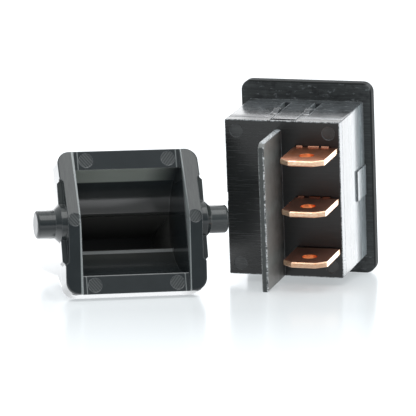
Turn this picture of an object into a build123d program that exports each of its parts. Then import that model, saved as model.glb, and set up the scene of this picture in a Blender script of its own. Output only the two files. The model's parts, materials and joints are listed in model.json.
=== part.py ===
"""Trim switch set for a boat's control handle: a snap-in rocker switch and its thumb button.

The switch and the button stand apart on one level surface. Each is modelled in a frame of its
own and is then stood on the surface, where both rest on two edges and lean a little.

Switch frame: X across, Y up the long side, Z out of the back, zero at the panel's plane.
Button frame: X along the pivot pins, Y up, Z out of the open side, zero on the pins' axis.
Lengths are in millimetres and angles in degrees.
"""
import copy
import os
from math import asin, atan2, degrees, hypot, radians, sin, sqrt, tan

from build123d import *

# ---- Allowances for building solids
weld = 0.2
cut_past = 1.0
near = 0.01

# ---- Switch housing: bezel and shell in one moulding
body_width = 16.9
body_height = 22.8
body_depth = 13.1
side_wall = 1.1
end_wall = 1.25
bezel_thickness = 2.0
bezel_overlap_side = 1.3
bezel_overlap_end = 2.75
bezel_corner_radius = 1.5
bezel_edge_round = 0.6
moulded_edge_round = 0.2
tongue_width = 3.6
tongue_thickness = 0.75
tongue_lap = 0.4
tongue_root = 1.5
channel_width = 1.0
clip_width = 0.8
clip_root_length = 3.0
clip_thickness = 0.9
clip_step_height = 0.15
clip_step_length = 0.85
clip_steps = 3
clip_free_end = 4.7
boss_height = 0.25
boss_length = 4.9
boss_width = 4.4
boss_chamfer = 0.2

# ---- Terminal base: rear plate, plug and divider in one moulding
plate_thickness = 1.6
plate_edge_round = 0.12
plug_depth = 1.3
plug_gap = 0.08
lip_thickness = 0.45
latch_gap = 0.12
barb_depth = 0.85
barb_width = 2.4
barb_length = 0.65
barb_land = 0.22
barb_inset = 0.95
divider_thickness = 0.9
divider_length = 8.85
divider_offset = -0.6
divider_top_inset = 1.25
divider_corner = 1.2
divider_edge_round = 0.2
ejector_mark_radius = 0.95
ejector_mark_depth = 0.12
ejector_mark_inset = 1.65
edge_notch_height = 1.3
edge_notch_depth = 0.25

# ---- Terminals: 6.35 mm push-on tabs
tab_width = 6.35
tab_thickness = 0.8
tab_length = 8.5
tab_pitch = 7.35
tab_edge_margin = 0.3
tab_shoulder = 0.95
tab_tip_chamfer_side = 1.4
tab_tip_chamfer_length = 1.07
tab_coin = 0.16
tab_hole_radius = 1.05
tab_hole_setback = 3.4
stake_radius = 0.22
stake_marks = ((-2.35, 0.9), (-0.3, 1.6), (1.4, 1.1))
leg_length = 2.75
slot_gap = 0.05

# ---- Contacts and the saddle that the contact arm rocks on
contact_radius = 1.2
contact_inset = 0.85
contact_shank_radius = 0.58
shank_gap = 0.02
fixed_contact_height = 0.5
moving_contact_height = 0.6
contact_edge_chamfer = 0.15
closed_gap = 0.05
arm_width = 3.0
arm_thickness = 0.5
arm_end_margin = 0.2
dip_depth = 0.3
dip_half_length = 2.0
trunnion_radius = 0.45
running_gap = 0.05
saddle_sheet = 0.5
saddle_side_gap = 0.15
saddle_half_length = 1.3
rivet_width = 2.4
rivet_head = 0.12

# ---- Rocker, plunger and spring
rocker_swing = 10.0
arm_ratio = 0.65
rocker_gap = 0.25
rocker_proud = 2.2
rocker_dish = 1.2
rocker_skirt = 1.2
rocker_wall = 1.2
rocker_edge_round = 0.5
pivot_depth = 2.4
pivot_pin_radius = 1.3
pivot_pin_reach = 0.7
pivot_bore_end = 0.1
barrel_wall = 0.75
barrel_reach = 3.0
plunger_radius = 1.3
plunger_tip_gap = 0.08
plunger_wall = 0.35
plunger_nose = 2.1
plunger_inset = 1.1
barrel_floor = 3.4
spring_wire_radius = 0.15
spring_side_gap = 0.1
spring_pitch = 1.1
spring_wire_sides = 8
spring_travel = 0.55

# ---- Thumb button: drum, paddle and pivot pins in one moulding
button_width = 20.15
button_height = 20.4
button_rim_level = 0.45
button_rim_rise = 2.5
button_rim_depth = 2.6
button_corner_radius = 1.8
drum_wall = 2.7
cheek_wall = 2.45
cheek_recess = 0.5
cheek_recess_height = 12.4
cheek_recess_floor = 0.95
cavity_draft = 3.0
ledge_drop = 0.2
paddle_reach = 19.6
paddle_tip_height = 6.4
paddle_taper = 16.2
paddle_tip_round = 2.6
paddle_root_round = 1.5
paddle_end_round = 1.0
hollow_height = 4.9
hollow_mouth_round = 0.6
hollow_tip_wall = 2.6
button_pin_radius = 2.0
button_pin_reach = 13.7
button_pin_round = 0.45
pin_root_chamfer = 0.7
pin_pad_height = 11.8
pin_pad_proud = 0.35
pin_pad_thickness = 1.9
button_edge_round = 0.2
button_mark_radius = 1.0
button_mark_depth = 0.1
peak_mark_radius = 0.9
peak_mark_depth = 0.35
button_mark_x = 5.9
button_mark_y = 8.9

# ---- How the two stand on the surface, seen from above
switch_turn = -17.0
button_turn = 13.9
pin_overlap = 0.59
button_set_forward = 22.5

# ---- Sizes that follow from the ones above
half_width = body_width / 2
half_height = body_height / 2
cavity_x = half_width - side_wall
cavity_y = half_height - end_wall
shell_rear = body_depth - plate_thickness
plug_face = shell_rear - plug_depth
tongue_x = tongue_width / 2
tongue_inner = half_height - tongue_thickness
channel_x = tongue_x + channel_width
pole_x = half_width - tab_edge_margin - tab_width / 2
shank_width = tab_width - 2 * tab_shoulder
contact_y = tab_pitch - contact_inset
arm_swing = rocker_swing * arm_ratio
leg_face = plug_face - tab_thickness
contact_gap = (contact_y + contact_radius) * sin(radians(arm_swing)) + closed_gap
arm_rear = leg_face - fixed_contact_height - contact_gap - moving_contact_height
arm_front = arm_rear - arm_thickness
arm_pivot = arm_front + dip_depth + arm_thickness / 2
saddle_x = arm_width / 2 + saddle_side_gap
plunger_tip = arm_front + dip_depth - plunger_tip_gap
bore_radius = plunger_radius + running_gap
barrel_rear = pivot_depth + barrel_reach
bore_floor = pivot_depth - barrel_floor
rocker_front = -bezel_thickness - rocker_proud
rocker_rear = pivot_depth + rocker_skirt
rocker_radius = cavity_y - rocker_gap
rocker_x = cavity_x - rocker_gap
button_x = button_width / 2
button_y = button_height / 2
button_cavity_x = button_x - cheek_wall
drum_inner = button_y - drum_wall
cheek_x = button_x - cheek_recess


def block(x0, x1, y0, y1, z0, z1):
    """A box given by its lowest and highest corners."""
    box = Box(x1 - x0, y1 - y0, z1 - z0)
    return Pos((x0 + x1) / 2, (y0 + y1) / 2, (z0 + z1) / 2) * box


def slab(points, x0, x1):
    """A prism along X whose section is a list of (y, z) points."""
    section = Plane.YZ * make_face(Polyline(*points, close=True))
    return Pos(x0, 0, 0) * extrude(section, x1 - x0)


def rod(radius, x0, x1, y=0.0, z=0.0):
    """A round bar along X."""
    return Pos((x0 + x1) / 2, y, z) * Rot(0, 90, 0) * Cylinder(radius, x1 - x0)


def post(radius, x, y, z0, z1):
    """A round bar along Z."""
    return Pos(x, y, (z0 + z1) / 2) * Cylinder(radius, z1 - z0)


def mirrored_in_height(shape):
    """A shape and its mirror image below the middle plane."""
    return [shape, mirror(shape, Plane.XZ)]


# ---- Housing -----------------------------------------------------------------------------

def panel_clip(side):
    """A stepped arm that springs over the panel's edge, rooted in the wall beside its channel."""
    inner_x = side * (tongue_x + (channel_width - clip_width) / 2)
    x0, x1 = sorted((inner_x, inner_x + side * clip_width))
    underside = half_height - clip_thickness
    root_front = shell_rear - clip_root_length
    nose = clip_free_end
    points = [(underside, nose), (half_height, nose)]
    for step in range(clip_steps):
        depth = nose + (step + 1) * clip_step_length
        points.append((half_height + step * clip_step_height, depth))
        points.append((half_height + (step + 1) * clip_step_height, depth))
    points.append((half_height, root_front))
    points.append((half_height, shell_rear))
    points.append((underside, shell_rear))
    arm = slab(points, x0, x1)
    root_x0, root_x1 = sorted((inner_x, side * (channel_x + weld)))
    return arm + block(root_x0, root_x1, underside, half_height, root_front, shell_rear)


def retaining_barb():
    """The hook under a tongue's end that holds the terminal base."""
    z0 = shell_rear - barb_inset
    points = [(tongue_inner, z0), (tongue_inner - barb_depth, z0),
              (tongue_inner - barb_depth, z0 + barb_land),
              (tongue_inner, z0 + barb_length)]
    return slab(points, -barb_width / 2, barb_width / 2)


def make_housing():
    bezel_face = RectangleRounded(body_width + 2 * bezel_overlap_side,
                                  body_height + 2 * bezel_overlap_end, bezel_corner_radius)
    bezel = extrude(bezel_face, -bezel_thickness)
    bezel = fillet(bezel.edges().group_by(Axis.Z)[0], bezel_edge_round)
    bezel = fillet(bezel.edges().group_by(Axis.Z)[-1], moulded_edge_round)
    shell = block(-half_width, half_width, -half_height, half_height, 0, shell_rear)
    shell = fillet(shell.edges().filter_by(Axis.Z), moulded_edge_round)
    body = bezel + shell
    for side in (-1, 1):
        edge = side * half_width
        x0, x1 = sorted((edge - side * side_wall / 2, edge + side * boss_height))
        boss = block(x0, x1, -boss_width / 2, boss_width / 2, 0, boss_length)
        outer_edges = boss.faces().sort_by(Axis.X)[-1 if side > 0 else 0].edges()
        body += chamfer(outer_edges.filter_by(Axis.Y), boss_chamfer)
    opening_front = -bezel_thickness - cut_past
    opening_rear = shell_rear + cut_past
    body -= block(-cavity_x, cavity_x, -cavity_y, cavity_y, opening_front, opening_rear)
    bore_end = half_width + boss_height - pivot_bore_end - running_gap
    body -= rod(pivot_pin_radius + running_gap, -bore_end, bore_end, 0, pivot_depth)

    cuts, tongues = [], []
    for side in (-1, 1):
        x0, x1 = sorted((side * tongue_x, side * channel_x))
        cuts.append(block(x0, x1, cavity_y - cut_past, half_height + cut_past,
                          tongue_root, opening_rear))
        tongues.append(panel_clip(side))
    cuts.append(block(-tongue_x, tongue_x, cavity_y - cut_past, tongue_inner,
                      tongue_root, opening_rear))
    lap_end = shell_rear + tongue_lap
    lap_start = shell_rear - barb_length
    tongues.append(block(-tongue_x, tongue_x, tongue_inner, half_height, lap_start, lap_end))
    tongues.append(retaining_barb())
    for cut in cuts:
        for piece in mirrored_in_height(cut):
            body -= piece
    for tongue in tongues:
        for piece in mirrored_in_height(tongue):
            body += piece
    return body


# ---- Terminal base -----------------------------------------------------------------------

def make_divider():
    top = half_height - divider_top_inset
    rear = body_depth + divider_length
    x0 = divider_offset - divider_thickness / 2
    points = [(-half_height, body_depth - weld), (-half_height, rear), (top, rear),
              (top, body_depth - weld)]
    fin = slab(points, x0, x0 + divider_thickness)
    corner = fin.edges().filter_by(Axis.X).sort_by(lambda e: e.center().Y + e.center().Z)[-1]
    fin = fillet(corner, divider_corner)
    rims = [edge for face in fin.faces().filter_by(Axis.X) for edge in face.edges()
            if edge.center().Z > body_depth - weld + near]
    return fillet(rims, divider_edge_round)


def make_terminal_base():
    base = block(-half_width, half_width, -half_height, half_height, shell_rear, body_depth)
    base = fillet(base.edges().filter_by(Axis.Z), moulded_edge_round)
    base = fillet(base.edges().group_by(Axis.Z)[-1], plate_edge_round)
    plug_x = cavity_x - plug_gap
    plug_y = cavity_y - plug_gap
    base += block(-plug_x, plug_x, -plug_y, plug_y, plug_face, shell_rear)
    base += make_divider()

    notch_x = tongue_x + latch_gap
    notch = block(-notch_x, notch_x, tongue_inner - latch_gap, half_height + cut_past,
                  shell_rear, body_depth - lip_thickness)
    barb_z = shell_rear - barb_inset
    pocket_x = barb_width / 2 + latch_gap
    pocket = block(-pocket_x, pocket_x, tongue_inner - barb_depth - latch_gap, half_height,
                   barb_z - latch_gap, shell_rear)
    for piece in mirrored_in_height(notch) + mirrored_in_height(pocket):
        base -= piece

    slot_x = shank_width / 2 + slot_gap
    slot_y = tab_thickness / 2 + slot_gap
    for y in (-tab_pitch, 0, tab_pitch):
        base -= block(pole_x - slot_x, pole_x + slot_x, y - slot_y, y + slot_y,
                      plug_face - cut_past, body_depth + cut_past)

    mark_x = half_width - ejector_mark_inset
    mark_y = half_height - ejector_mark_inset
    for x in (-mark_x, mark_x):
        for y in (-mark_y, mark_y):
            base -= post(ejector_mark_radius, x, y, body_depth - ejector_mark_depth,
                         body_depth + cut_past)
    base -= block(-half_width - cut_past, -half_width + edge_notch_depth, -edge_notch_height / 2,
                  edge_notch_height / 2, body_depth - lip_thickness, body_depth + cut_past)
    return base


# ---- Terminals and contacts --------------------------------------------------------------

def make_blade():
    """The part of a terminal behind the base: a coined tab, its hole and its stake marks."""
    tip = body_depth + tab_length
    edge = tab_width / 2
    outline = [(-edge, body_depth), (-edge, tip - tab_tip_chamfer_length),
               (-edge + tab_tip_chamfer_side, tip), (edge - tab_tip_chamfer_side, tip),
               (edge, tip - tab_tip_chamfer_length), (edge, body_depth)]
    face = make_face(Polyline(*[(x, 0, z) for x, z in outline], close=True))
    blade = extrude(face, tab_thickness / 2, both=True, dir=(0, 1, 0))
    flat = blade.edges().filter_by(lambda e: abs(e.center().Y) > tab_thickness / 2 - near)
    coined = flat.filter_by(lambda e: e.center().Z > tip - tab_tip_chamfer_length)
    blade = chamfer(coined, tab_coin)
    hole_z = tip - tab_hole_setback
    hole = Pos(0, 0, hole_z) * Rot(90, 0, 0) * Cylinder(tab_hole_radius, 2 * tab_thickness)
    blade -= hole
    for x, width in stake_marks:
        blade += rod(stake_radius, x - width / 2, x + width / 2, tab_thickness / 2,
                     body_depth + stake_radius)
    return Pos(pole_x, 0, 0) * blade


def make_end_terminal(side):
    """A tab whose inner end is bent into a leg along the plug's face."""
    half = tab_thickness / 2
    half_shank = shank_width / 2
    inner, outer = tab_pitch + half - leg_length, tab_pitch + half
    shank = block(pole_x - half_shank, pole_x + half_shank, tab_pitch - half, tab_pitch + half,
                  leg_face, body_depth)
    leg = block(pole_x - half_shank, pole_x + half_shank, inner, outer, leg_face, plug_face)
    bent = shank + leg
    bend = bent.edges().filter_by(Axis.X).sort_by(lambda e: e.center().Z - e.center().Y)[0]
    bent = fillet(bend, half)
    hole = post(contact_shank_radius + shank_gap, pole_x, contact_y, leg_face - cut_past,
                plug_face + cut_past)
    terminal = bent - hole + Pos(0, tab_pitch, 0) * make_blade()
    return terminal if side > 0 else mirror(terminal, Plane.XZ)


def make_common_terminal():
    half = tab_thickness / 2
    half_shank = shank_width / 2
    shank = block(pole_x - half_shank, pole_x + half_shank, -half, half, plug_face, body_depth)
    rivet = block(pole_x - rivet_width / 2, pole_x + rivet_width / 2, -half, half,
                  plug_face - saddle_sheet - rivet_head, plug_face)
    return shank + rivet + make_blade()


def make_saddle():
    """A sheet bracket with two notched ears that carry the contact arm's trunnions."""
    outer = saddle_x + saddle_sheet
    front = arm_pivot - trunnion_radius
    bracket = block(pole_x - outer, pole_x + outer, -saddle_half_length, saddle_half_length,
                    front, plug_face)
    bracket = chamfer(bracket.edges().filter_by(Axis.X).group_by(Axis.Z)[0], trunnion_radius)
    bracket -= block(pole_x - saddle_x, pole_x + saddle_x, -saddle_half_length - cut_past,
                     saddle_half_length + cut_past, front - cut_past, plug_face - saddle_sheet)
    notch = trunnion_radius + running_gap
    notch_x = outer + cut_past
    bracket -= rod(notch, pole_x - notch_x, pole_x + notch_x, 0, arm_pivot)
    bracket -= block(pole_x - notch_x, pole_x + notch_x, -notch, notch, front - cut_past, arm_pivot)
    half = tab_thickness / 2 + slot_gap
    slot_x = rivet_width / 2 + slot_gap
    return bracket - block(pole_x - slot_x, pole_x + slot_x, -half, half,
                           plug_face - saddle_sheet - cut_past, plug_face + cut_past)


def make_contact(side, head_front, head_rear, shank_front, shank_rear, chamfered_at):
    """A silver contact rivet: a round head and the shank that holds it."""
    head = post(contact_radius, pole_x, contact_y, head_front, head_rear)
    head = chamfer(head.edges().group_by(Axis.Z)[chamfered_at], contact_edge_chamfer)
    rivet = head + post(contact_shank_radius, pole_x, contact_y, shank_front, shank_rear)
    return rivet if side > 0 else mirror(rivet, Plane.XZ)


def make_fixed_contact(side):
    return make_contact(side, leg_face - fixed_contact_height, leg_face,
                        leg_face, plug_face, 0)


def make_moving_contact(side):
    return make_contact(side, arm_rear, arm_rear + moving_contact_height,
                        arm_front, arm_rear, -1)


def make_contact_arm():
    """The see-saw strip: its middle dips to hold the plunger's tip, its edges carry trunnions."""
    end = contact_y + contact_radius + arm_end_margin
    faces = []
    for z in (arm_front, arm_rear):
        faces.append([(-end, z), (-dip_half_length, z), (0, z + dip_depth),
                      (dip_half_length, z), (end, z)])
    points = faces[0] + faces[1][::-1]
    strip = slab(points, pole_x - arm_width / 2, pole_x + arm_width / 2)
    strip = fillet(strip.edges().filter_by(Axis.Z), arm_thickness)
    for y in (-contact_y, contact_y):
        strip -= post(contact_shank_radius + shank_gap, pole_x, y, arm_front - cut_past,
                      arm_rear + cut_past)
    reach = saddle_x + saddle_sheet
    for side in (-1, 1):
        x0, x1 = sorted((pole_x + side * (arm_width / 2 - weld), pole_x + side * reach))
        strip += rod(trunnion_radius, x0, x1, 0, arm_pivot)
    return strip


# ---- Rocker, plunger and spring ----------------------------------------------------------

def rocker_drum(radius, half_length, front, dish):
    """A slice of a drum about the pivot, with its front face dished into a shallow V."""
    reach = radius + cut_past
    drum = rod(radius, -half_length, half_length, 0, pivot_depth)
    drum &= block(-half_length, half_length, -reach, reach, front, rocker_rear)
    corner = sqrt(radius**2 - (pivot_depth - front)**2)
    past_corner = front - (reach - corner) * dish / corner
    valley = [(-reach, past_corner), (0, front + dish), (reach, past_corner),
              (reach, front - reach), (-reach, front - reach)]
    return drum - slab(valley, -half_length, half_length)


def make_rocker():
    rocker = rocker_drum(rocker_radius, rocker_x, rocker_front, rocker_dish)
    front_edges = rocker.edges().filter_by(lambda e: e.center().Z < rocker_front + rocker_dish)
    rocker = fillet(front_edges.filter_by(Axis.X), rocker_edge_round)
    inner_front = rocker_front + rocker_wall
    rocker -= rocker_drum(rocker_radius - rocker_wall, rocker_x - rocker_wall, inner_front,
                          rocker_dish)
    for x in (-pole_x, pole_x):
        barrel = post(bore_radius + barrel_wall, x, 0, inner_front + rocker_dish / 2, barrel_rear)
        rocker += barrel & block(-rocker_x, rocker_x, -half_height, half_height,
                                 inner_front, barrel_rear)
    for x in (-pole_x, pole_x):
        rocker -= post(bore_radius, x, 0, bore_floor, barrel_rear + cut_past)
    pin_end = cavity_x + pivot_pin_reach
    for side in (-1, 1):
        x0, x1 = sorted((side * (rocker_x - rocker_wall / 2), side * pin_end))
        rocker += rod(pivot_pin_radius, x0, x1, 0, pivot_depth)
    return rocker


def make_plunger():
    """A round-nosed cup, open towards the rocker, that holds the spring."""
    front = bore_floor + plunger_inset
    pin = post(plunger_radius, pole_x, 0, front, plunger_tip - plunger_radius)
    nose = Pos(pole_x, 0, plunger_tip - plunger_radius) * Sphere(plunger_radius)
    cup_floor = plunger_tip - plunger_nose
    return pin + nose - post(plunger_radius - plunger_wall, pole_x, 0, front - cut_past, cup_floor)


def make_plunger_spring():
    """A helix that sits on the barrel's floor, short of the cup's floor by its travel."""
    outer = plunger_radius - plunger_wall - spring_side_gap
    start = bore_floor + spring_wire_radius
    length = plunger_tip - plunger_nose - spring_travel - spring_wire_radius - start
    path = Helix(spring_pitch, length, outer - spring_wire_radius)
    section = RegularPolygon(spring_wire_radius, spring_wire_sides)
    wire = sweep(Plane(path @ 0, z_dir=path % 0) * section, path)
    return Pos(pole_x, 0, start) * wire


# ---- Thumb button ------------------------------------------------------------------------

def make_drum():
    """The round back of the button, centred on the pins, and the deep paddle that rises from it."""
    drum = rod(button_y, -cheek_x, cheek_x)
    drum &= block(-cheek_x, cheek_x, -button_y, button_y, -button_y, 0)
    tip_half = paddle_tip_height / 2
    root = -drum_inner / 2
    root_half = tip_half + (paddle_reach + root) * tan(radians(paddle_taper))
    paddle = slab([(-tip_half, -paddle_reach), (tip_half, -paddle_reach),
                   (root_half, root), (-root_half, root)], -cheek_x, cheek_x)
    tip_edges = paddle.edges().filter_by(Axis.X).group_by(Axis.Z)[0]
    paddle = fillet(tip_edges, paddle_tip_round)
    body = drum + paddle
    roots = [edge for edge in body.edges().filter_by(Axis.X)
             if abs(hypot(edge.center().Y, edge.center().Z) - button_y) < near
             and edge.center().Z < root]
    body = fillet(roots, paddle_root_round)
    end_edges = [edge for face in body.faces().filter_by(Axis.X) for edge in face.edges()
                 if edge.center().Z < -near]
    return fillet(end_edges, paddle_end_round)


def make_rim():
    """The open side's border: two cheeks that rise to a low peak at the pins."""
    base = -button_rim_depth
    rim = slab([(-button_y, base), (-button_y, button_rim_level),
                (0, button_rim_level + button_rim_rise), (button_y, button_rim_level),
                (button_y, base)], -button_x, button_x)
    rim = fillet(rim.edges().filter_by(Axis.Z), button_corner_radius)
    outer_lines = [edge for edge in rim.edges()
                   if edge.center().Z > button_rim_level - near
                   and hypot(edge.center().X, edge.center().Y) > button_x / 2]
    rim = fillet(outer_lines, button_edge_round)
    half = cheek_recess_height / 2
    for side in (-1, 1):
        outline = [(side * cheek_x, -half + cheek_recess), (side * cheek_x, half - cheek_recess),
                   (side * button_x, half), (side * (button_x + cut_past), half),
                   (side * (button_x + cut_past), -half), (side * button_x, -half)]
        recess = extrude(make_face(Polyline(*outline, close=True)), button_height)
        rim -= Pos(0, 0, cheek_recess_floor) * recess
    return rim


def between_cheeks():
    """A prism along Y that fills the drafted space between the two cheeks."""
    top = button_rim_level + button_rim_rise + cut_past
    draft = tan(radians(cavity_draft))
    mouth_x = button_cavity_x + (top - button_rim_level) * draft
    floor_x = button_cavity_x - (paddle_reach + button_rim_level) * draft
    section = Plane.XZ * make_face(Polyline((-mouth_x, top), (mouth_x, top),
                                            (floor_x, -paddle_reach), (-floor_x, -paddle_reach),
                                            close=True))
    return extrude(section, button_y + cut_past, both=True)


def make_cavity():
    """The round space inside the drum and the slot that hollows the paddle."""
    top = button_rim_level + button_rim_rise + cut_past
    mouth = rod(drum_inner, -button_x, button_x)
    mouth += block(-button_x, button_x, -drum_inner, drum_inner, 0, top)
    slot_end = hollow_tip_wall - paddle_reach
    taper = tan(radians(paddle_taper / 2))
    narrow = hollow_height / 2 + (slot_end + drum_inner) * taper
    wide = hollow_height / 2 + drum_inner * taper
    slot = slab([(-narrow, slot_end), (narrow, slot_end), (wide, 0), (-wide, 0)],
                -button_x, button_x)
    space = mouth + slot
    corners = [edge for edge in space.edges().filter_by(Axis.X)
               if abs(hypot(edge.center().Y, edge.center().Z) - drum_inner) < near
               and edge.center().Z < -drum_inner / 2]
    return fillet(corners, hollow_mouth_round) & between_cheeks()


def make_pivot_pin():
    """The pin on the +X side, on the long flat pad that braces it to the cheek."""
    inside = cheek_x - cheek_wall / 2
    pin = rod(button_pin_radius, inside, button_pin_reach)
    end_edge = pin.edges().filter_by(GeomType.CIRCLE).sort_by(Axis.X)[-1]
    pin = fillet(end_edge, button_pin_round)
    pad_x = button_x + pin_pad_proud
    root_radius = button_pin_radius + pin_root_chamfer
    root = rod(root_radius, inside, pad_x + pin_root_chamfer)
    root_edge = root.edges().filter_by(GeomType.CIRCLE).sort_by(Axis.X)[-1]
    pin += chamfer(root_edge, pin_root_chamfer)
    half = pin_pad_height / 2
    outline = [(inside, -half), (button_x, -half), (pad_x, pin_pad_proud - half),
               (pad_x, half - pin_pad_proud), (button_x, half), (inside, half)]
    pad = extrude(make_face(Polyline(*outline, close=True)), pin_pad_thickness / 2, both=True)
    return pin + pad


def make_trim_button():
    body = make_drum() + make_rim()
    pin = make_pivot_pin()
    body += pin
    body += mirror(pin, Plane.YZ)
    body -= make_cavity()
    ledge = button_rim_level - ledge_drop
    top = button_rim_level + button_rim_rise + cut_past
    rim_y = button_y + cut_past
    body -= block(-button_x, button_x, -rim_y, rim_y, ledge, top) & between_cheeks()
    cheek_lines = [edge for edge in body.edges()
                   if edge.center().Z > button_rim_level + near
                   and abs(abs(edge.center().X) - button_cavity_x) < cheek_wall / 4
                   and edge.length > drum_inner]
    ledge_lines = [edge for edge in body.edges().filter_by(Axis.X)
                   if abs(abs(edge.center().Y) - drum_inner) < near and edge.center().Z > ledge - near]
    body = fillet(cheek_lines + ledge_lines, button_edge_round)
    for x in (-button_mark_x, button_mark_x):
        for y in (-button_mark_y, button_mark_y):
            body -= post(button_mark_radius, x, y, ledge - button_mark_depth, top)
    peak = button_rim_level + button_rim_rise - peak_mark_depth
    peak_x = (button_cavity_x + cheek_x) / 2
    for x in (-peak_x, peak_x):
        body -= post(peak_mark_radius, x, 0, peak, top)
    return body


# ---- Where the two stand -----------------------------------------------------------------

def switch_lean():
    """The housing rests on its bezel's lower rear edge and on the divider's lower corner."""
    return degrees(atan2(bezel_overlap_end, body_depth + divider_length))


def button_lean():
    """The button rests on its rim's lower edge and on the round of the paddle's corner."""
    run = paddle_tip_round * tan(radians(90 - paddle_taper) / 2)
    rise = button_y - (paddle_tip_height / 2 - run)
    reach = button_rim_level + paddle_reach - paddle_tip_round
    return degrees(atan2(rise, reach) - asin(paddle_tip_round / hypot(rise, reach)))


def stand(group, turn, lean):
    """Turn a group of named pieces from its own frame to where it stands, with Z up."""
    return {name: Rot(0, 0, turn) * Rot(90 + lean, 0, 0) * piece for name, piece in group.items()}


def move(group, x, y, z):
    return {name: Pos(x, y, z) * piece for name, piece in group.items()}


def bounds(group):
    return Compound(children=[copy.copy(piece) for piece in group.values()]).bounding_box()


def build_all():
    switch = {
        "housing": make_housing(),
        "terminal_base": make_terminal_base(),
        "upper_terminal": make_end_terminal(1),
        "common_terminal": make_common_terminal(),
        "lower_terminal": make_end_terminal(-1),
        "contact_saddle": make_saddle(),
        "upper_fixed_contact": make_fixed_contact(1),
        "lower_fixed_contact": make_fixed_contact(-1),
        "contact_arm": make_contact_arm(),
        "upper_moving_contact": make_moving_contact(1),
        "lower_moving_contact": make_moving_contact(-1),
        "rocker": make_rocker(),
        "plunger": make_plunger(),
        "plunger_spring": make_plunger_spring(),
    }
    switch = stand(switch, switch_turn, switch_lean())
    button = stand({"trim_button": make_trim_button()}, button_turn, -button_lean())
    box = bounds(button)
    button = move(button, pin_overlap - box.max.X, -button_set_forward, -box.min.Z)
    box = bounds(switch)
    switch = move(switch, -box.min.X, 0, -box.min.Z)
    everything = {**switch, **button}
    box = bounds(everything)
    middle = box.center()
    return move(everything, -middle.X, -middle.Y, -box.min.Z)


os.makedirs("parts", exist_ok=True)
pieces = build_all()
for name, piece in pieces.items():
    export_step(piece, f"parts/{name}.step")
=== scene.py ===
"""Looks of a boat's trim switch and of the thumb button that works it.

The CAD solids of both are kept as they are. Each section below gives one piece, or a group of
like pieces, its finish, in the order in which the switch is put together. Marks are placed in
millimetres, in the switch's or the button's own frame: x to the right, y up, and z out of the
switch's back or out of the button's mouth.
"""
import json
from math import asin, atan2, cos, pi, radians, sin
from types import SimpleNamespace

import bpy
from mathutils import Euler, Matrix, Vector

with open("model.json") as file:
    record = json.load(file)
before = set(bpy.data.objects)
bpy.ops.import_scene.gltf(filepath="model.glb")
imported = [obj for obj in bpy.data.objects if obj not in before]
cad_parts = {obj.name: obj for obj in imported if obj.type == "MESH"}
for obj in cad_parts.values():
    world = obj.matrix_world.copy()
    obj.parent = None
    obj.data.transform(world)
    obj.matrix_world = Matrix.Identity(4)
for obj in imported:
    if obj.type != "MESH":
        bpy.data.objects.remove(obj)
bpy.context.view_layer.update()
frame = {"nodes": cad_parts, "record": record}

# ---- Camera ------------------------------------------------------------------------------
# A long lens stands over half a metre off, a little above the shelf, and looks at the backs of
# both pieces.
camera_elevation = radians(7.546)
camera_distance = 0.5686
camera_lens = 346.15
film_width = 36
nearest_shown = 0.05
look_point = Vector((-0.000213, -0.002870, 0.011245))
look_direction = Vector((0, cos(camera_elevation), -sin(camera_elevation)))
camera = bpy.data.objects.new("camera", bpy.data.cameras.new("camera"))
camera.data.sensor_width = film_width
camera.data.lens = camera_lens
camera.data.clip_start = nearest_shown
camera.location = look_point - camera_distance * look_direction
camera.rotation_euler = look_direction.to_track_quat("-Z", "Y").to_euler()
bpy.context.scene.collection.objects.link(camera)
bpy.context.scene.camera = camera
bpy.context.scene.view_settings.view_transform = "Standard"


# ---- Studio ------------------------------------------------------------------------------
# A pale floor and a light tent: bright behind the pieces, dimmer on the camera's side, with
# one soft lamp overhead, one at the right and one behind.
def node(tree, kind, **settings):
    """A new node with those settings."""
    made = tree.nodes.new(kind)
    for name, value in settings.items():
        setattr(made, name, value)
    return made


def link(tree, output, socket):
    tree.links.new(output, socket)


def calc(tree, operation, first, second=0.0, third=None, clamp=False):
    """One step of arithmetic on numbers or sockets."""
    made = node(tree, "ShaderNodeMath", operation=operation, use_clamp=clamp)
    for socket, value in zip(made.inputs, (first, second, third)):
        if isinstance(value, bpy.types.NodeSocket):
            link(tree, value, socket)
        elif value is not None:
            socket.default_value = value
    return made.outputs[0]


def ramp(tree, value, *stops):
    """A colour ramp: each stop is a place and a grey level or a colour."""
    made = node(tree, "ShaderNodeValToRGB")
    elements = made.color_ramp.elements
    while len(elements) < len(stops):
        elements.new(0.5)
    for element, (place, colour) in zip(elements, stops):
        element.position = place
        level = (colour,) * 3 if isinstance(colour, (int, float)) else colour
        element.color = (*level, 1)
    link(tree, value, made.inputs[0])
    return made.outputs[0]


def axes(tree, vector):
    """The x, y and z of a vector."""
    split = node(tree, "ShaderNodeSeparateXYZ")
    link(tree, vector, split.inputs[0])
    return split.outputs


def product(tree, first, *others):
    """All the masks multiplied together."""
    for other in others:
        first = calc(tree, "MULTIPLY", first, other)
    return first


def either(tree, first, second):
    """The stronger of two masks."""
    return calc(tree, "MAXIMUM", first, second)


def past(tree, value, start, soft):
    """Rises from 0 to 1 as the value goes from start to start plus soft, and falls if soft < 0."""
    return calc(tree, "MULTIPLY_ADD", value, 1 / soft, -start / soft, clamp=True)


def between(tree, mask, low, high):
    """Low where the mask is 0 and high where it is 1."""
    return calc(tree, "MULTIPLY_ADD", mask, high - low, low)


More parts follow.
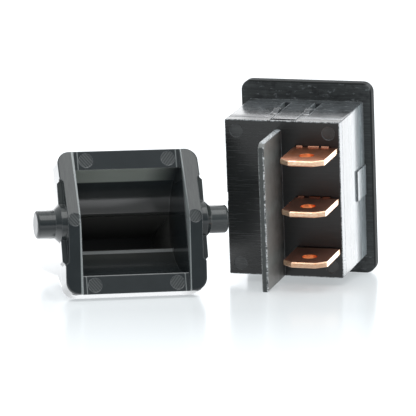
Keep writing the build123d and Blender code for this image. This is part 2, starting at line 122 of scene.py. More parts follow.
tent_dim = (0.13, 0.155, 0.17)
tent_side = (0.20, 0.225, 0.24)
tent_bright = (1.0, 1.02, 1.06)
tent_side_place = 0.35
tent_roof_level = 0.62
backdrop_white = (1, 1, 1)
tent = bpy.data.worlds.new("light_tent")
tent.use_nodes = True
bpy.context.scene.world = tent
tree = tent.node_tree
tree.nodes.clear()
towards = axes(tree, node(tree, "ShaderNodeTexCoord").outputs["Generated"])
depth = calc(tree, "MULTIPLY_ADD", towards["Y"], 0.5, 0.5)
walls = ramp(tree, depth, (0.0, tent_dim), (tent_side_place, tent_side), (1.0, tent_bright))
roof = calc(tree, "MULTIPLY", either(tree, towards["Z"], 0.0), tent_roof_level)
light_level = node(tree, "ShaderNodeVectorMath", operation="ADD")
link(tree, walls, light_level.inputs[0])
link(tree, roof, light_level.inputs[1])
seen_by_camera = node(tree, "ShaderNodeLightPath").outputs["Is Camera Ray"]
shown = node(tree, "ShaderNodeMix", data_type="VECTOR")
link(tree, seen_by_camera, shown.inputs["Factor"])
link(tree, light_level.outputs[0], shown.inputs["A"])
shown.inputs["B"].default_value = backdrop_white
background = node(tree, "ShaderNodeBackground")
link(tree, shown.outputs["Result"], background.inputs["Color"])
link(tree, background.outputs[0], node(tree, "ShaderNodeOutputWorld").inputs["Surface"])

floor_size = 6.0
floor_colour = (0.46, 0.48, 0.485, 1)
floor_roughness = 0.18
floor_shine = 0.25
floor_light = (0.93, 0.975, 1.0, 1)
floor_light_level, front_light_level = 0.43, 0.61
mirrored_colour = (0.98, 1.0, 1.02, 1)
mirrored_level = 0.8
bpy.ops.mesh.primitive_plane_add(size=floor_size, location=(0, 0, 0))
floor = bpy.context.object
floor.name = "floor"
floor_paint = bpy.data.materials.new("floor_paint")
floor_paint.use_nodes = True
tree = floor_paint.node_tree
tree.nodes.clear()
paint = node(tree, "ShaderNodeBsdfPrincipled")
paint.inputs["Base Color"].default_value = floor_colour
paint.inputs["Roughness"].default_value = floor_roughness
paint.inputs["Specular IOR Level"].default_value = floor_shine
paint.inputs["Emission Color"].default_value = floor_light
spot = axes(tree, node(tree, "ShaderNodeTexCoord").outputs["Object"])
in_front = past(tree, spot["Y"], -0.025, -0.04)
link(tree, between(tree, in_front, floor_light_level, front_light_level),
     paint.inputs["Emission Strength"])

# The floor that glossy faces mirror is brighter behind the pieces and under the button, and
# dimmer again at the far left.
behind_right = product(tree, past(tree, spot["X"], 0.022, 0.006),
                       past(tree, spot["Y"], -0.012, 0.014))
behind = either(tree, past(tree, spot["Y"], 0.005, 0.05), behind_right)
under_button = product(tree, past(tree, spot["X"], 0.0, -0.004),
                       past(tree, spot["Y"], -0.030, 0.014))
far_front = past(tree, spot["Y"], -0.035, -0.02)
towards_right = past(tree, spot["X"], -0.05, 0.06)
far_left = past(tree, spot["X"], -0.04, -0.04)
level = mirrored_level
for part_of_floor, extra in ((under_button, 1.7), (far_front, 0.3),
                             (product(tree, behind, towards_right), 1.3), (behind, 1.6),
                             (product(tree, behind, far_left), -1.5)):
    level = calc(tree, "MULTIPLY_ADD", part_of_floor, extra, level)
glow = node(tree, "ShaderNodeEmission")
glow.inputs["Color"].default_value = mirrored_colour
link(tree, level, glow.inputs["Strength"])
seen = node(tree, "ShaderNodeLightPath")
mixed = node(tree, "ShaderNodeMixShader")
link(tree, seen.outputs["Is Glossy Ray"], mixed.inputs[0])
link(tree, paint.outputs[0], mixed.inputs[1])
link(tree, glow.outputs[0], mixed.inputs[2])
link(tree, mixed.outputs[0], node(tree, "ShaderNodeOutputMaterial").inputs["Surface"])
floor.data.materials.append(floor_paint)


def lamp(name, place, width, height, radiance):
    """A soft rectangular lamp that points at the pieces and isn't seen by the camera."""
    data = bpy.data.lights.new(name, "AREA")
    data.shape = "RECTANGLE"
    data.size = width
    data.size_y = height
    data.energy = radiance * width * height * pi
    made = bpy.data.objects.new(name, data)
    made.location = place
    made.rotation_euler = (look_point - made.location).to_track_quat("-Z", "Y").to_euler()
    made.visible_camera = False
    bpy.context.scene.collection.objects.link(made)


lamp("overhead_lamp", Vector((0.0, -0.22, 0.5)), width=0.5, height=0.4, radiance=2.2)
lamp("right_lamp", Vector((0.6, -0.1, 0.3)), width=0.4, height=0.4, radiance=2.5)
lamp("back_lamp", Vector((0.0, 0.7, 0.35)), width=0.9, height=0.4, radiance=1.8)


# ---- Housing -----------------------------------------------------------------------------
# The bezel and shell are one black nylon moulding. The mould is polished round the shell, where
# level tool marks and a pale bloom show, and it leaves the bezel dull. Painted sheen lightens the
# shell's right wall and the rear right of its level walls.
panel_cutout = next(m for m in frame["record"]["mounts"] if m["name"] == "panel_cutout")
switch_back = Vector(panel_cutout["axis"])
switch_origin = Vector(panel_cutout["pos_m"])
switch_lean = asin(-switch_back.z)
switch_turn = atan2(switch_back.x, -switch_back.y)
switch_rotation = (radians(90) + switch_lean, 0, switch_turn)
switch_up = Euler(switch_rotation).to_matrix() @ Vector((0, 1, 0))
switch_right = Euler(switch_rotation).to_matrix() @ Vector((1, 0, 0))


def new_material(name):
    """A node material, its tree and its principled shader."""
    made = bpy.data.materials.new(name)
    made.use_nodes = True
    shader = made.node_tree.nodes["Principled BSDF"]
    return made, made.node_tree, shader


def local_millimetres(tree, origin, rotation):
    """Object coordinates turned into a piece's own frame, in millimetres."""
    mapping = node(tree, "ShaderNodeMapping", vector_type="TEXTURE")
    mapping.inputs["Location"].default_value = origin
    mapping.inputs["Rotation"].default_value = rotation
    link(tree, node(tree, "ShaderNodeTexCoord").outputs["Object"], mapping.inputs[0])
    scaled = node(tree, "ShaderNodeVectorMath", operation="SCALE")
    scaled.inputs["Scale"].default_value = 1000
    link(tree, mapping.outputs[0], scaled.inputs[0])
    return scaled.outputs[0]


def noise(tree, place, scale, detail=3.0, roughness=0.5, stretch=(1, 1, 1)):
    """Noise from 0 to 1, with a scale in features per millimetre along each axis."""
    stretched = node(tree, "ShaderNodeVectorMath", operation="MULTIPLY")
    stretched.inputs[1].default_value = stretch
    link(tree, place, stretched.inputs[0])
    made = node(tree, "ShaderNodeTexNoise")
    made.inputs["Scale"].default_value = scale
    made.inputs["Detail"].default_value = detail
    made.inputs["Roughness"].default_value = roughness
    link(tree, stretched.outputs[0], made.inputs["Vector"])
    return made.outputs[0]


def bump(tree, height, depth, normal):
    """A bump whose full height is depth, in metres."""
    made = node(tree, "ShaderNodeBump")
    made.inputs["Distance"].default_value = depth
    link(tree, height, made.inputs["Height"])
    link(tree, normal, made.inputs["Normal"])
    return made.outputs[0]


def blend(tree, factor, first, second):
    """A colour mix; first and second are colours or sockets."""
    made = node(tree, "ShaderNodeMix", data_type="RGBA")
    link(tree, factor, made.inputs["Factor"])
    for name, value in (("A", first), ("B", second)):
        socket = next(s for s in made.inputs if s.name == name and s.type == "RGBA")
        if isinstance(value, bpy.types.NodeSocket):
            link(tree, value, socket)
        else:
            socket.default_value = (*value, 1)
    return next(s for s in made.outputs if s.type == "RGBA")


def inverse(tree, mask):
    """1 where the mask is 0, and 0 where it is 1."""
    return calc(tree, "SUBTRACT", 1.0, mask)


def within(tree, value, low, high, soft):
    """1 between low and high, and 0 from soft outside them."""
    return product(tree, past(tree, value, low - soft, soft), past(tree, value, high + soft, -soft))


def facing(tree, direction):
    """1 where the surface faces that way, and 0 from about 45 degrees off it."""
    made = node(tree, "ShaderNodeVectorMath", operation="DOT_PRODUCT")
    made.inputs[1].default_value = direction
    link(tree, node(tree, "ShaderNodeNewGeometry").outputs["Normal"], made.inputs[0])
    return past(tree, made.outputs["Value"], 0.7, 0.2)


def softened_edges(tree, radius):
    """The normal with every edge rounded to that radius, and a mask that is 1 on those edges."""
    rounded = node(tree, "ShaderNodeBevel", samples=6)
    rounded.inputs["Radius"].default_value = radius
    flat = node(tree, "ShaderNodeNewGeometry").outputs["Normal"]
    agree = node(tree, "ShaderNodeVectorMath", operation="DOT_PRODUCT")
    link(tree, rounded.outputs[0], agree.inputs[0])
    link(tree, flat, agree.inputs[1])
    mask = ramp(tree, agree.outputs["Value"], (0.86, 1.0), (0.992, 0.0))
    return rounded.outputs[0], mask


cloud_lift = 1.5
cloud_gloss = 0.04


def black_moulding(name, origin, rotation, colour, gloss, edge_radius):
    """Black nylon with cloudy tone and gloss, before a piece's own marks are laid over it."""
    made = SimpleNamespace()
    made.material, made.tree, made.shader = new_material(name)
    tree = made.tree
    made.place = local_millimetres(tree, origin, rotation)
    made.x, made.y, made.z = axes(tree, made.place)
    made.normal, made.edges = softened_edges(tree, edge_radius)
    made.clouds = noise(tree, made.place, scale=0.35, detail=4.0)
    made.grain = noise(tree, made.place, scale=9.0, detail=3.0, roughness=0.6)
    made.tone = blend(tree, made.clouds, colour, [cloud_lift * level for level in colour])
    made.gloss = between(tree, made.clouds, gloss - cloud_gloss, gloss + cloud_gloss)
    return made


def tint(look, mask, colour, strength=1.0):
    """Lays a colour over the piece's tone where the mask is."""
    look.tone = blend(look.tree, product(look.tree, mask, strength), look.tone, colour)


def dull(look, mask, amount):
    """Roughens the piece by that amount where the mask is."""
    look.gloss = calc(look.tree, "MULTIPLY_ADD", mask, amount, look.gloss)


def patches(look, scale, low, soft, detail=5.0, roughness=0.7, stretch=(1, 1, 1)):
    """Ragged patches where the piece's noise is over low."""
    cloudy = noise(look.tree, look.place, scale, detail, roughness, stretch)
    return past(look.tree, cloudy, low, soft)


def streaks(look, scale, stretch, low, high):
    """Drawn-out marks: 0 where the noise is under low and 1 where it is over high."""
    return patches(look, scale, low, high - low, 5.0, 0.65, stretch)


def finish(material, *names):
    """Gives the material to the CAD nodes of those names."""
    for name in names:
        slots = frame["nodes"][name].data.materials
        slots.clear()
        slots.append(material)


nylon_ior = 1.53


def mould(look, relief, relief_depth, *names):
    """Joins a moulding's tone, gloss and relief to its shader and gives it to its nodes."""
    tree = look.tree
    link(tree, look.tone, look.shader.inputs["Base Color"])
    link(tree, look.gloss, look.shader.inputs["Roughness"])
    look.shader.inputs["IOR"].default_value = nylon_ior
    link(tree, bump(tree, relief, relief_depth, look.normal), look.shader.inputs["Normal"])
    finish(look.material, *names)


shell_black = (0.015, 0.016, 0.018)
bloom_and_sheen_grey = (0.085, 0.096, 0.102)
right_wall_sheen_grey = (0.25, 0.285, 0.30)
speck_black = (0.030, 0.034, 0.036)
bezel_black = (0.024, 0.027, 0.028)
bezel_mark_grey = (0.078, 0.085, 0.085)
bezel_cloud_grey = (0.075, 0.081, 0.081)
bezel_edge_black = (0.010, 0.012, 0.012)
patch_black = (0.010, 0.011, 0.012)
scuff_grey = (0.26, 0.28, 0.29)
rear_right_sheen_grey = (0.30, 0.33, 0.345)
wear_and_highlight_grey = (0.45, 0.48, 0.50)
bezel_back = 0.02
bezel_edge_x, bezel_edge_y = 9.5, 13.9
wall_y = 11.3
channel_inner, channel_outer, channel_line = 1.80, 2.80, 0.12
channel_start, channel_end = 1.5, 12.6
tool_mark_depth = 0.0000008
shell = black_moulding("housing_nylon", switch_origin, switch_rotation, shell_black,
                       gloss=0.14, edge_radius=0.00014)
tree = shell.tree
side_x = calc(tree, "ABSOLUTE", shell.x)
side_y = calc(tree, "ABSOLUTE", shell.y)
on_bezel = calc(tree, "LESS_THAN", shell.z, bezel_back)
on_shell = inverse(tree, on_bezel)
behind_front = past(tree, shell.z, -0.3, 0.1)
level_wall = product(tree, behind_front, past(tree, side_y, wall_y, 0.05))
right_wall = facing(tree, switch_right)
left_wall = facing(tree, -switch_right)
speckle = patches(shell, 4.0, 0.46, 0.12, detail=3.0, roughness=0.6)

# Tool marks run level round the shell, and along the bezel's bars.
ring_marks = streaks(shell, 1.0, (0.30, 0.30, 2.2), 0.38, 0.66)
bar_marks = product(tree, streaks(shell, 1.0, (0.22, 3.0, 3.0), 0.42, 0.70), behind_front)
marks = calc(tree, "ADD", product(tree, ring_marks, on_shell), product(tree, bar_marks, on_bezel))

# Pale bloom and painted sheen lie over the shell, most on the right wall and least on the left one.
bloom_and_sheen = product(tree, between(tree, ring_marks, 0.42, 0.87), between(tree, left_wall, 1.0, 0.4))
tint(shell, product(tree, on_shell, bloom_and_sheen, past(tree, shell.z, 10.5, -4.0)), bloom_and_sheen_grey)
# Painted reflection: pale streaks on the right wall, strongest towards the bezel.
drawn_marks = streaks(shell, 0.5, (1.0, 0.25, 1.8), 0.25, 0.60)
right_wall_sheen = product(tree, right_wall, on_shell, drawn_marks, past(tree, shell.z, 8.0, -4.5))
tint(shell, right_wall_sheen, right_wall_sheen_grey)
specks = product(tree, patches(shell, 2.6, 0.60, 0.05, detail=4.0), right_wall,
                 within(tree, shell.z, 1.2, 4.6, 1.2), within(tree, shell.y, -4.0, 5.5, 3.0))
tint(shell, specks, speck_black, 0.8)
tint(shell, on_bezel, bezel_black)
tint(shell, product(tree, bar_marks, on_bezel), bezel_mark_grey, 0.75)
tint(shell, product(tree, shell.edges, speckle), wear_and_highlight_grey, 0.7)

# The level walls are rubbed in patches, and painted highlights mark the edges of the panel clips'
# channels in them.
worn_patches = product(tree, level_wall, patches(shell, 0.45, 0.52, 0.10),
                       past(tree, shell.z, 11.5, -2.0))
tint(shell, worn_patches, patch_black, 0.75)
scuffs = product(tree, level_wall, streaks(shell, 1.6, (0.5, 1.0, 1.6), 0.58, 0.66))
tint(shell, scuffs, scuff_grey, 0.5)
bezel_clouds = product(tree, on_bezel, behind_front, patches(shell, 0.7, 0.50, 0.16))
tint(shell, bezel_clouds, bezel_cloud_grey, 0.4)
inner_edge = within(tree, side_x, channel_inner - channel_line, channel_inner, 0.05)
outer_edge = within(tree, side_x, channel_outer, channel_outer + channel_line, 0.05)
channel_edge_highlights = product(tree, either(tree, inner_edge, outer_edge), level_wall,
                        within(tree, shell.z, channel_start, channel_end, 0.2))
tint(shell, product(tree, channel_edge_highlights, speckle), wear_and_highlight_grey, 0.55)
# Painted sheen: the level walls are paler in clouds towards their rear right, as reflected light.
rear_right = product(tree, level_wall, past(tree, shell.x, -1.0, 6.0),
                     past(tree, shell.z, 9.0, 2.5))
tint(shell, product(tree, rear_right, on_shell, shell.clouds), rear_right_sheen_grey, 0.8)
rear_left = product(tree, level_wall, past(tree, shell.x, 0.0, -4.0),
                    past(tree, shell.z, 9.5, 2.0))
bezel_edge = product(tree, either(tree, past(tree, side_x, bezel_edge_x, 0.1),
                                  past(tree, side_y, bezel_edge_y, 0.1)), on_bezel)
tint(shell, bezel_edge, bezel_edge_black)

dull(shell, on_bezel, 0.50)
dull(shell, bezel_edge, 0.25)
dull(shell, past(tree, shell.z, 5.0, -5.0), 0.16)
dull(shell, marks, 0.06)
dull(shell, rear_left, 0.30)
shell.shader.inputs["Sheen Weight"].default_value = 0.12
shell.shader.inputs["Sheen Roughness"].default_value = 0.3
mould(shell, marks, tool_mark_depth, "housing")


# ---- Terminal base -----------------------------------------------------------------------
# The rear plate, plug and divider are a second black nylon moulding, latched in the housing.
# Its back shows level tool marks, and the divider is scuffed, with painted light and shade that
# make it paler towards its rear edge.
def near_point(tree, x, y, centre, radius, soft):
    """1 inside a circle about a point of the x, y plane."""
    across = calc(tree, "SUBTRACT", x, centre[0])
    up = calc(tree, "SUBTRACT", y, centre[1])
    squares = calc(tree, "MULTIPLY_ADD", across, across, product(tree, up, up))
    return past(tree, calc(tree, "SQRT", squares), radius + soft, -soft)


base_black = (0.0095, 0.0105, 0.0105)
tab_side_shade_black = (0.005, 0.006, 0.0065)
blank_half_grey = (0.024, 0.026, 0.026)
fin_scuffs_and_light = (0.048, 0.054, 0.053)
fin_side_scuffs_and_light = (0.185, 0.192, 0.184)
level_mark_grey = (0.06, 0.065, 0.065)
chipped_white = (0.72, 0.75, 0.76)
left_edge_grey = (0.35, 0.37, 0.37)
top_edge_grey = (0.55, 0.60, 0.63)
ejector_grey = (0.085, 0.092, 0.093)
plate_rim_highlight_grey = (0.50, 0.53, 0.55)
plate_right_sheen_grey = (0.16, 0.175, 0.185)
plate_rear = 13.1
plate_edge_x, plate_edge_y = 8.30, 11.24
ejector_place, ejector_radius = (6.8, 9.75), 0.95
divider_rear = 21.95
divider_left, divider_right = -1.05, -0.15
divider_top = 10.15
base_grain_depth = 0.0000015
base = black_moulding("base_nylon", switch_origin, switch_rotation, base_black,
                      gloss=0.25, edge_radius=0.00012)
tree = base.tree
side_x = calc(tree, "ABSOLUTE", base.x)
side_y = calc(tree, "ABSOLUTE", base.y)
on_divider = past(tree, base.z, plate_rear + 0.1, 0.1)
on_plate = inverse(tree, on_divider)
tab_half = past(tree, base.x, -0.4, 0.3)
blank_half = past(tree, base.x, 0.5, -3.0)
mottle = noise(tree, base.place, scale=0.8, detail=4.0, roughness=0.6)
speckle = patches(base, 5.0, 0.42, 0.16, detail=2.0, roughness=0.6)

# The plate is painted blacker round the tabs, as shade, than on its blank half, which keeps most
# tool marks.
tint(base, product(tree, on_plate, tab_half), tab_side_shade_black, 0.7)
tint(base, product(tree, on_plate, blank_half, within(tree, base.y, -4.0, 4.0, 3.5)),
     blank_half_grey, 0.9)
level_marks = product(tree, streaks(base, 1.0, (0.22, 4.5, 0.6), 0.52, 0.70),
                      between(tree, blank_half, 0.3, 1.0), on_plate)

# Mottled scuffs and painted light grow paler across the divider's sides from painted shade at
# their root, and its three outer edges are chipped pale.
across_fin = past(tree, base.z, plate_rear, divider_rear - plate_rear)
scuffs_and_light = calc(tree, "MULTIPLY_ADD", mottle, 0.7, between(tree, across_fin, -0.32, 0.83),
               clamp=True)
on_fin_side = past(tree, base.z, divider_rear - 0.12, -0.08)
tint(base, product(tree, on_divider, scuffs_and_light), fin_scuffs_and_light)
tint(base, product(tree, on_divider, scuffs_and_light, on_fin_side), fin_side_scuffs_and_light)
tint(base, level_marks, level_mark_grey, 0.5)
rear_rim = past(tree, base.z, divider_rear - 0.26, 0.08)
right_edge = product(tree, past(tree, base.x, divider_right - 0.24, 0.08), rear_rim)
left_edge = product(tree, past(tree, base.x, divider_left + 0.22, -0.08), rear_rim)
top_edge = product(tree, past(tree, base.y, divider_top - 0.18, 0.08), on_divider)
chips = patches(base, 1.3, 0.40, 0.14, detail=2.0, roughness=0.5)
tint(base, product(tree, right_edge, speckle, chips), chipped_white, 0.9)
tint(base, product(tree, left_edge, speckle), left_edge_grey, 0.5)
tint(base, product(tree, top_edge, speckle), top_edge_grey, 0.7)

# Ejector pins left four faint discs. A painted highlight runs along the plate's rim, and the
# plate's right side is painted paler as reflected light.
ejector_discs = near_point(tree, side_x, side_y, ejector_place, ejector_radius, 0.1)
tint(base, product(tree, ejector_discs, on_plate, mottle), ejector_grey, 0.8)
tint(base, product(tree, base.edges, speckle), wear_and_highlight_grey, 0.3)
plate_rim = product(tree, either(tree, past(tree, side_x, plate_edge_x, 0.05),
                                 past(tree, side_y, plate_edge_y, 0.05)),
                    past(tree, base.z, plate_rear - 0.16, 0.05), on_plate)
tint(base, product(tree, plate_rim, speckle), plate_rim_highlight_grey, 0.8)
tint(base, product(tree, facing(tree, switch_right), on_plate), plate_right_sheen_grey, 0.8)

dull(base, product(tree, on_plate, facing(tree, switch_back), tab_half), 0.10)
dull(base, on_divider, 0.22)
dull(base, level_marks, 0.08)
relief = calc(tree, "ADD", level_marks, product(tree, base.grain, on_divider))
mould(base, relief, base_grain_depth, "terminal_base")


# ---- Terminals ---------------------------------------------------------------------------
# Three push-on tabs stamped from half-hard copper strip and pressed into the base. The faces
# keep the strip's rolling lines, and the sheared edges are paler and a little rough.
metal_edge_radius = 0.00007
rolling_line_depth = 0.000002
tarnish_shade = 0.72


def rolled_metal(name, colour, edge_colour, shine, along=(0.4, 6.0, 6.0)):
    """Metal with rolling lines and tarnish, before a piece's own marks are laid over it."""
    made = SimpleNamespace()
    made.material, made.tree, made.shader = new_material(name)
    tree = made.tree
    made.place = local_millimetres(tree, switch_origin, switch_rotation)
    normal, edges = softened_edges(tree, metal_edge_radius)
    lines = noise(tree, made.place, scale=2.2, detail=4.0, roughness=0.6, stretch=along)
    tarnish = patches(made, 0.5, 0.35, 0.40, roughness=0.6)
    made.tone = blend(tree, tarnish, colour, [tarnish_shade * level for level in colour])
    tint(made, edges, edge_colour)
    made.shader.inputs["Metallic"].default_value = 1.0
    made.gloss = between(tree, lines, shine, shine + 0.12)
    dull(made, tarnish, 0.08)
    link(tree, made.gloss, made.shader.inputs["Roughness"])
    link(tree, bump(tree, lines, rolling_line_depth, normal), made.shader.inputs["Normal"])
    return made


def fit_metal(look, *names):
    """Joins a metal's tone to its shader and gives it to its nodes."""
    link(look.tree, look.tone, look.shader.inputs["Base Color"])
    finish(look.material, *names)


strip_copper, strip_edge = (0.86, 0.40, 0.26), (0.95, 0.62, 0.46)
torn_copper, sheared_copper = (0.78, 0.40, 0.22), (0.94, 0.73, 0.54)
clean_copper = (0.93, 0.54, 0.42)
dark_brown_copper = (0.62, 0.22, 0.09)
stained_copper = (0.50, 0.26, 0.15)
hole_copper = (0.90, 0.33, 0.13)
root_shade_copper = (0.36, 0.17, 0.11)
lower_root_shade_copper = (0.13, 0.06, 0.04)
tab_hole, tab_hole_radius = (4.975, 18.2), 1.12
upper_tab_from, lower_tab_below = 5.0, -5.0
tabs = rolled_metal("terminal_copper", strip_copper, strip_edge, shine=0.25)
tree = tabs.tree
x, y, z = axes(tree, tabs.place)
rolled_face = either(tree, facing(tree, switch_up), facing(tree, -switch_up))
sheared = inverse(tree, rolled_face)
torn = patches(tabs, 2.0, 0.28, 0.34, detail=4.0, roughness=0.65, stretch=(1.0, 2.5, 1.0))
tint(tabs, sheared, blend(tree, torn, torn_copper, sheared_copper))

# The upper tab's faces are darker brown in patches, the other two are cleaner, and the lower one's
# edge is stained.
tint(tabs, product(tree, past(tree, y, 5.5, -0.5), rolled_face), clean_copper, 0.6)
uneven = patches(tabs, 0.6, 0.30, 0.40, detail=4.0, roughness=0.6)
tint(tabs, product(tree, past(tree, y, upper_tab_from, 0.5), rolled_face, uneven), dark_brown_copper)
stained = product(tree, past(tree, y, lower_tab_below, -0.5), sheared, past(tree, z, 20.5, 0.5))
tint(tabs, stained, stained_copper, 0.45)
tint(tabs, near_point(tree, x, z, tab_hole, tab_hole_radius, 0.03), hole_copper)
# The tabs' roots by the plate are painted dark, partly as shade; the lower two tabs' roots, with
# their staking marks, are painted darker still as shade.
root = past(tree, z, plate_rear + 0.5, -0.05)
tint(tabs, root, root_shade_copper)
tint(tabs, product(tree, root, past(tree, y, upper_tab_from, -0.5)), lower_root_shade_copper)
fit_metal(tabs, "upper_terminal", "common_terminal", "lower_terminal")

# ---- Contacts, saddle and arm ------------------------------------------------------------
# Inside, a copper see-saw strip rocks in a brass saddle that the middle tab's end holds. Silver
# rivets on the strip and on the outer tabs' legs make and break the circuit.
arm_copper, arm_edge = (0.72, 0.38, 0.24), (0.85, 0.55, 0.40)
saddle_brass, saddle_edge = (0.72, 0.55, 0.27), (0.86, 0.74, 0.45)
rivet_silver, rivet_edge = (0.80, 0.80, 0.78), (0.92, 0.92, 0.90)
fit_metal(rolled_metal("arm_copper", arm_copper, arm_edge, shine=0.30), "contact_arm")
fit_metal(rolled_metal("saddle_brass", saddle_brass, saddle_edge, shine=0.28), "contact_saddle")
fit_metal(rolled_metal("contact_silver", rivet_silver, rivet_edge, shine=0.22, along=(3, 3, 3)),
          "upper_fixed_contact", "lower_fixed_contact", "upper_moving_contact",
          "lower_moving_contact")

# ---- Rocker ------------------------------------------------------------------------------
# The rocker is a hollow black moulding that turns on two pins moulded on its sides. Its dished
# front has a fine even grain for the part that presses on it.
rocker_black = (0.013, 0.014, 0.015)
rub_grey = (0.06, 0.065, 0.066)
rocker_grain_depth = 0.000004
rocker = black_moulding("rocker_nylon", switch_origin, switch_rotation, rocker_black,
                        gloss=0.38, edge_radius=0.00012)
tint(rocker, streaks(rocker, 1.0, (3.0, 0.4, 3.0), 0.58, 0.72), rub_grey, 0.4)
tint(rocker, product(rocker.tree, rocker.edges, rocker.grain), wear_and_highlight_grey, 0.35)
mould(rocker, rocker.grain, rocker_grain_depth, "rocker")

# ---- Plunger and spring ------------------------------------------------------------------
# A white acetal cup slides in the rocker's barrel and is pushed against the strip by a small
# spring wound from bright drawn wire.
acetal_white, acetal_shade = (0.80, 0.79, 0.74), (0.70, 0.69, 0.63)
acetal_grain_depth = 0.000003
wire_steel, wire_edge = (0.55, 0.55, 0.55), (0.75, 0.75, 0.75)
plunger_acetal, tree, shader = new_material("plunger_acetal")
place = local_millimetres(tree, switch_origin, switch_rotation)
cloudy = noise(tree, place, scale=1.5, detail=4.0)
link(tree, blend(tree, cloudy, acetal_white, acetal_shade), shader.inputs["Base Color"])
link(tree, between(tree, cloudy, 0.28, 0.43), shader.inputs["Roughness"])
shader.inputs["Subsurface Weight"].default_value = 0.15
shader.inputs["Subsurface Radius"].default_value = (0.0006, 0.0005, 0.0004)
flat = node(tree, "ShaderNodeNewGeometry").outputs["Normal"]
grain = noise(tree, place, scale=8.0)
link(tree, bump(tree, grain, acetal_grain_depth, flat), shader.inputs["Normal"])
finish(plunger_acetal, "plunger")
fit_metal(rolled_metal("spring_wire", wire_steel, wire_edge, shine=0.25, along=(8, 8, 8)),
          "plunger_spring")

# ---- Thumb button ------------------------------------------------------------------------
# The button is one glossy black moulding: a hollow drum with a deep paddle and two pivot pins.
# Ejector pins have left hatched discs on its rim, and painted highlights line the mouth's edges;
# light and shade are painted inside the drum, on the upper cheeks and on the right pin.
button_pin = next(m for m in frame["record"]["mounts"] if m["name"] == "button_pin_right")
button_mate = next(m for m in frame["record"]["mounts"] if m["name"] == "button_pin_left")
button_origin = (Vector(button_pin["pos_m"]) + Vector(button_mate["pos_m"])) / 2
pin_direction = Vector(button_pin["axis"])
button_turn = atan2(pin_direction.y, pin_direction.x)
button_lean = radians(-19.54)
button_rotation = (radians(90) + button_lean, 0, button_turn)
button_out = Euler(button_rotation).to_matrix() @ Vector((0, 0, 1))
button_black = (0.0155, 0.0190, 0.0205)
cheek_flow_and_light_grey = (0.046, 0.054, 0.050)
roof_light_grey = (0.27, 0.29, 0.26)
drum_black = (0.040, 0.038, 0.034)
slot_floor_light_grey = (0.118, 0.116, 0.110)
slot_end_shade_black = (0.013, 0.012, 0.011)
cheek_highlight_grey = (0.33, 0.355, 0.355)
ledge_end_highlight_grey = (0.20, 0.215, 0.215)
ledge_highlight_grey = (0.20, 0.21, 0.21)
slot_lip_highlight_grey = (0.24, 0.25, 0.25)
disc_grey = (0.088, 0.095, 0.095)
right_pin_light_grey = (0.10, 0.11, 0.11)
mouth_x, mouth_y = 7.625, 7.5
slot_y, slot_z = 2.55, -6.95
slot_end_z = -12.0
ledge_end_x = 7.02
right_pin_from, pin_end_from = 10.8, 13.3
ledge_disc, ledge_disc_radius = (5.9, 8.9), 0.97
peak_disc, peak_disc_radius = (8.6, 0.0), 0.88
hatch_slope, hatch_pitch, hatch_depth = -0.8, 0.22, 0.000002
button = black_moulding("button_nylon", button_origin, button_rotation, button_black,
                        gloss=0.13, edge_radius=0.00016)
tree = button.tree
side_x = calc(tree, "ABSOLUTE", button.x)
side_y = calc(tree, "ABSOLUTE", button.y)
on_rim = past(tree, button.z, -0.1, 0.1)
flow = patches(button, 1.6, 0.32, 0.36, roughness=0.6, stretch=(3.2, 0.30, 0.30))

# Flow marks show on the upper half of both cheeks, the rim's two raised sides, which are also
# painted paler there as light from above.
upper_cheek = product(tree, past(tree, side_x, mouth_x, 0.1), on_rim,
                      past(tree, button.y, -0.2, 0.8))
tint(button, product(tree, upper_cheek, flow), cheek_flow_and_light_grey, 0.75)

# Inside, the drum's roof is satin and painted pale by the mouth as light, and deeper in the drum
# is a lighter, warmer black. The slot's floor is painted paler as light, and its end is painted
# black as shade.
inside_x = past(tree, side_x, mouth_x + 0.3, -0.1)
inside_top = product(tree, past(tree, button.y, 5.8, 0.2), inside_x,
                     past(tree, button.y, mouth_y + 0.06, -0.04),
                     within(tree, button.z, -3.5, 0.2, 0.25))
tint(button, product(tree, inside_top, past(tree, button.x, 7.2, -4.2)), roof_light_grey, 0.9)
deep_inside = product(tree, past(tree, button.z, -4.0, -4.0), inside_x,
                      past(tree, side_y, mouth_y + 0.3, -0.1))
tint(button, deep_inside, drum_black, 0.7)
slot_floor = product(tree, deep_inside, past(tree, button.z, slot_z, -1.0),
                     past(tree, side_y, slot_y + 0.4, -0.3))
tint(button, slot_floor, slot_floor_light_grey, 0.75)
slot_end = product(tree, facing(tree, button_out), past(tree, button.z, slot_end_z, -1.0),
                   past(tree, side_x, mouth_x + 0.1, -0.1))
tint(button, slot_end, slot_end_shade_black)

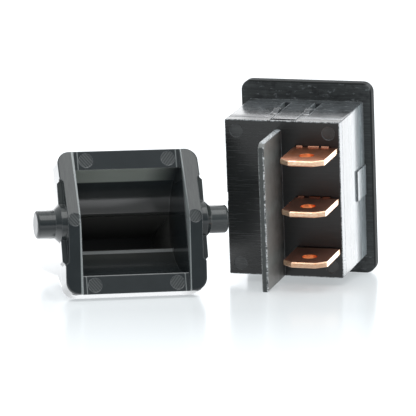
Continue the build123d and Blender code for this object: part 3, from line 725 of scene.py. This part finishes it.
# Painted highlights, broken up by the grain, follow the cheeks, the ledges' ends, the lower ledge
# and the slot's lower lip.
line_width = between(tree, past(tree, button.x, 1.0, -2.0), mouth_x + 0.17, mouth_x + 0.33)
cheek_highlight = product(tree, past(tree, side_x, mouth_x, 0.06), on_rim,
                     past(tree, calc(tree, "SUBTRACT", side_x, line_width), 0.06, -0.06))
ledge_end_highlight = product(tree, within(tree, side_x, ledge_end_x, ledge_end_x + 0.1, 0.05),
                     past(tree, side_y, mouth_y, 0.1), on_rim)
mouth_width = past(tree, side_x, mouth_x, -0.1)
ledge_highlight = product(tree, within(tree, button.y, -mouth_y - 0.12, -mouth_y + 0.02, 0.05),
                     mouth_width, within(tree, button.z, 0.0, 0.3, 0.05))
slot_lip_highlight = product(tree, within(tree, button.y, -slot_y - 0.55, -slot_y - 0.1, 0.06),
                    within(tree, button.z, slot_z - 0.6, slot_z + 0.6, 0.2), mouth_width)
highlight_grain = between(tree, button.grain, 0.5, 1.1)
for line, colour in ((cheek_highlight, cheek_highlight_grey), (ledge_end_highlight, ledge_end_highlight_grey),
                     (ledge_highlight, ledge_highlight_grey), (slot_lip_highlight, slot_lip_highlight_grey)):
    tint(button, product(tree, line, highlight_grain), colour)

# Hatched ejector discs: four on the ledges and one on the peak of each cheek.
hatch = calc(tree, "PINGPONG", calc(tree, "MULTIPLY_ADD", button.y, hatch_slope, side_x),
             hatch_pitch)
hatch = past(tree, hatch, 0.06, 0.10)
ledge_discs = near_point(tree, side_x, side_y, ledge_disc, ledge_disc_radius, 0.06)
peak_discs = near_point(tree, side_x, side_y, peak_disc, peak_disc_radius, 0.06)
discs = product(tree, either(tree, ledge_discs, peak_discs), on_rim)
tint(button, product(tree, discs, between(tree, hatch, 0.15, 1.0)), disc_grey, 0.7)
tint(button, product(tree, button.edges, button.grain, between(tree, on_rim, 0.3, 1.0)),
     wear_and_highlight_grey, 0.35)
# The right pin is painted paler in grainy patches, as light.
tint(button, product(tree, past(tree, button.x, right_pin_from, 0.2), button.grain), right_pin_light_grey, 0.5)

dull(button, inside_top, 0.35)
dull(button, slot_end, 0.45)
dull(button, discs, 0.2)
dull(button, past(tree, side_x, pin_end_from, 0.2), 0.25)
relief = calc(tree, "ADD", product(tree, discs, hatch, 6.0), product(tree, flow, 0.5))
mould(button, relief, hatch_depth, "trim_button")
